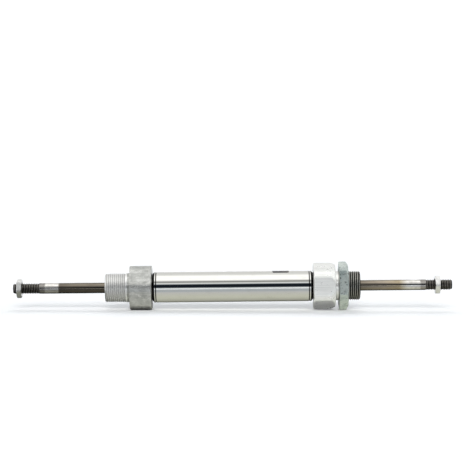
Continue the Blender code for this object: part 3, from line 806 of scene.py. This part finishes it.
def make_floor():
    """A pale tabletop that ends a little way in front of the cylinder."""
    n = Nodes("pale_tabletop")
    grain = n.noise((300.0, 300.0, 300.0), detail=2.0, seed=20.0)
    colour = n.ramp(grain, [(0.3, (0.90, 0.905, 0.91)), (0.7, (0.93, 0.935, 0.94))])
    n.finish(metallic=0.0, colour=colour, roughness=0.9)
    n.shader.inputs["Specular IOR Level"].default_value = 0.1
    corners = [(-FLOOR_REACH, FLOOR_FRONT), (FLOOR_REACH, FLOOR_FRONT),
               (FLOOR_REACH, FLOOR_REACH), (-FLOOR_REACH, FLOOR_REACH)]
    mesh = bpy.data.meshes.new("tabletop")
    mesh.from_pydata([floor_point(x, y) for x, y in corners], [], [(0, 1, 2, 3)])
    mesh.materials.append(n.material)
    floor = bpy.data.objects.new("tabletop", mesh)
    bpy.context.scene.collection.objects.link(floor)


def make_world():
    """The surroundings, which differ by what looks at them: plain white for the camera, bands
    round the cylinder's axis for the metal, and one even light for dull surfaces. A band's angle
    is 0 towards the camera's side of the room, 90 overhead and 180 behind the cylinder."""
    world = bpy.data.worlds.new("studio")
    bpy.context.scene.world = world
    world.use_nodes = True
    tree = world.node_tree
    tree.nodes.clear()
    place = tree.nodes.new("ShaderNodeTexCoord").outputs["Generated"]
    axes = tree.nodes.new("ShaderNodeSeparateXYZ")
    tree.links.new(place, axes.inputs[0])
    front = tree.nodes.new("ShaderNodeMath")
    front.operation = "MULTIPLY"
    tree.links.new(axes.outputs[1], front.inputs[0])
    front.inputs[1].default_value = -1.0
    angle = tree.nodes.new("ShaderNodeMath")
    angle.operation = "ARCTAN2"
    tree.links.new(axes.outputs[2], angle.inputs[0])
    tree.links.new(front.outputs[0], angle.inputs[1])
    share = tree.nodes.new("ShaderNodeMapRange")
    tree.links.new(angle.outputs[0], share.inputs[0])
    for key, value in ((1, -math.pi), (2, math.pi), (3, 0.0), (4, 1.0)):
        share.inputs[key].default_value = value
    ramp = tree.nodes.new("ShaderNodeValToRGB")
    tree.links.new(share.outputs[0], ramp.inputs[0])
    bands = [
        (-180, 0.84, WHITE), (-90, 0.6, WHITE), (-9, 0.95, COOL), (-5, 0.4, COOL),
        (-2.5, 0.08, COOL), (1, 0.02, NAVY), (16, 0.016, NAVY), (21, 0.11, COOL),
        (25, 0.80, COOL), (30, 0.95, WHITE), (35, 0.42, WHITE), (43, 0.30, WHITE),
        (50, 0.95, WHITE), (58, 1.38, WHITE), (92, 1.38, WHITE), (101, 1.04, WHITE),
        (112, 0.88, WHITE), (128, 0.80, WHITE), (180, 0.84, WHITE),
    ]
    elements = ramp.color_ramp.elements
    elements[0].position, elements[-1].position = 0.0, 1.0
    for degrees, _, _ in bands[1:-1]:
        elements.new((degrees + 180) / 360)
    for element, (_, value, tint) in zip(elements, bands):
        element.color = (*grey(value, tint), 1.0)
    path = tree.nodes.new("ShaderNodeLightPath")
    mirrored = tree.nodes.new("ShaderNodeBackground")
    tree.links.new(ramp.outputs[0], mirrored.inputs[0])
    light = tree.nodes.new("ShaderNodeBackground")
    light.inputs[0].default_value = (*AMBIENT, 1.0)
    seen = tree.nodes.new("ShaderNodeBackground")
    seen.inputs[0].default_value = (*grey(BACKGROUND), 1.0)
    direct = tree.nodes.new("ShaderNodeMath")  # the metal throws no light onto the tabletop
    direct.operation = "LESS_THAN"
    tree.links.new(path.outputs["Diffuse Depth"], direct.inputs[0])
    direct.inputs[1].default_value = 0.5
    tree.links.new(direct.outputs[0], mirrored.inputs[1])
    shown = light
    for kind, other in (("Is Glossy Ray", mirrored), ("Is Camera Ray", seen)):
        mix = tree.nodes.new("ShaderNodeMixShader")
        tree.links.new(path.outputs[kind], mix.inputs[0])
        tree.links.new(shown.outputs[0], mix.inputs[1])
        tree.links.new(other.outputs[0], mix.inputs[2])
        shown = mix
    output = tree.nodes.new("ShaderNodeOutputWorld")
    tree.links.new(shown.outputs[0], output.inputs[0])


def make_mirror_card():
    """A graded glowing card on the tabletop that only the metal sees: a painted reflection of
    the tabletop, with painted light in front of the cylinder, painted shade beneath it and
    painted contact shadow under the caps. It fades along X towards the left rod."""
    shades = [
        (-85, 0.80, COOL), (-60, 0.52, COOL), (-36, 0.53, COOL), (-27, 0.62, WHITE),
        (-11, 0.64, WARM), (-7, 0.60, WARM), (-4, 0.52, WARM), (0, 0.42, WARM),
        (4, 0.26, WARM), (8, 0.14, WARM), (18, 0.06, WARM), (40, 0.05, WARM),
        (75, 0.40, WHITE),
    ]
    first, last = shades[0][0], shades[-1][0]
    n = Nodes("mirror_card")
    across = n.range(n.axes.outputs[1], first * MM, last * MM)
    colour = n.ramp(across, [((y - first) / (last - first), grey(value, tint))
                             for y, value, tint in shades])
    towards_rod = n.range(n.axes.outputs[0], -NOSE_END * MM, -CAP_SHOULDER * MM, 0.4, 1.0)
    from_middle = n.math("ABSOLUTE", n.axes.outputs[0])
    past_inner = n.range(from_middle, (CAP_INNER - 1) * MM, CAP_INNER * MM)
    before_end = n.range(from_middle, (CAP_SHOULDER + 2) * MM, (CAP_SHOULDER + 1) * MM)
    beneath = n.math("MULTIPLY", n.math("MULTIPLY", past_inner, before_end),
                     n.range(n.axes.outputs[1], -0.014, -0.007))
    # Painted contact shadow: the card's glow is nearly cut out under each cap.
    painted_contact_shadow = n.math("SUBTRACT", 1.0, n.math("MULTIPLY", beneath, 0.95))
    glow = n.add("ShaderNodeEmission", {"Color": colour,
                                        "Strength": n.math("MULTIPLY", towards_rod, painted_contact_shadow)})
    n.tree.links.new(glow.outputs[0], n.tree.nodes["Material Output"].inputs[0])
    corners = [(-200, first), (200, first), (200, last), (-200, last)]
    mesh = bpy.data.meshes.new("mirror_card")
    mesh.from_pydata([floor_point(x, y, 0.01) for x, y in corners], [], [(0, 1, 2, 3)])
    mesh.materials.append(n.material)
    card = bpy.data.objects.new("mirror_card", mesh)
    card.visible_camera = card.visible_diffuse = card.visible_shadow = False
    bpy.context.scene.collection.objects.link(card)


def make_soft_lights():
    """A soft light in front and one behind, which light the tabletop and dull faces and leave
    a soft shadow on both sides of the cylinder. They don't show in the metal."""
    for name, strength, elevation, spread, azimuth in SOFT_LIGHTS:
        data = bpy.data.lights.new(name, "SUN")
        data.energy = strength
        data.angle = math.radians(spread)
        lamp = bpy.data.objects.new(name, data)
        lamp.rotation_euler = (math.radians(90.0 - elevation), 0.0, math.radians(azimuth))
        lamp.visible_glossy = False
        bpy.context.scene.collection.objects.link(lamp)


def make_camera():
    """A long level lens, looking a little above the cylinder."""
    back = Vector((0.0, -1.0, 0.0))
    data = bpy.data.cameras.new("camera")
    data.sensor_width = 36.0
    data.lens = data.sensor_width * CAMERA_DISTANCE / FRAME_WIDTH
    data.clip_start, data.clip_end = 0.01, 100.0
    camera = bpy.data.objects.new("camera", data)
    bpy.context.scene.collection.objects.link(camera)
    turn = (-back).to_track_quat("-Z", "Y").to_matrix().to_4x4()
    tilt = Matrix.Rotation(FLOOR_RISE - CAMERA_ROLL, 4, "Y")
    place = Matrix.Translation((CAMERA_AIM + back * CAMERA_DISTANCE) * MM)
    camera.matrix_world = tilt @ place @ turn
    bpy.context.scene.camera = camera


def main():
    rubber = paint_inner_pieces()["black_rubber"]
    make_tube()
    make_label()
    # The two caps are one aluminium. The left cap's darker colours are painted shade and the
    # right cap's lighter colours are painted light, because their flats face the light
    # differently.
    make_cap("left", cap_material("left_cap_metal_painted_shade", (0.54, 0.545, 0.525), (0.28, 0.285, 0.27),
                                  0.75, 0.3, 0.8),
             nose_material("left_nose_thread", (0.88, 0.88, 0.87), (0.64, 0.64, 0.63), 0.35,
                           NOSE_RADIUS * MM, 0.85))
    make_cap("right", cap_material("right_cap_metal_painted_light", (0.84, 0.845, 0.825), (0.66, 0.665, 0.645),
                                   0.25, 0.16, 0.65),
             nose_material("right_nose_thread", (0.56, 0.55, 0.52), (0.006, 0.006, 0.006),
                           0.6, NOSE_RADIUS * MM))
    for end in SIDES:
        make_wiper(end, rubber)
    make_rod()
    make_nut("mounting_nut_hex", "mounting_nut", "nose_nut",
             M22_ACROSS_FLATS, M22_CORNER, NOSE_RADIUS + 0.05, ((0.4, 0.4), (1.5, 2.6)), ROUND,
             galvanised_material())
    zinc = zinc_material()
    for end in SIDES:
        make_nut(f"{end}_rod_nut_hex", f"{end}_rod_nut", f"{end}_nut",
                 M8_ACROSS_FLATS, M8_CORNER[end], ROD_RADIUS + 0.05,
                 ((0.55, 0.95), (0.55, 0.95)), ROUND_SMALL, zinc)
    make_floor()
    make_world()
    make_mirror_card()
    make_soft_lights()
    make_camera()
    bpy.context.scene.view_settings.view_transform = "Standard"


main()
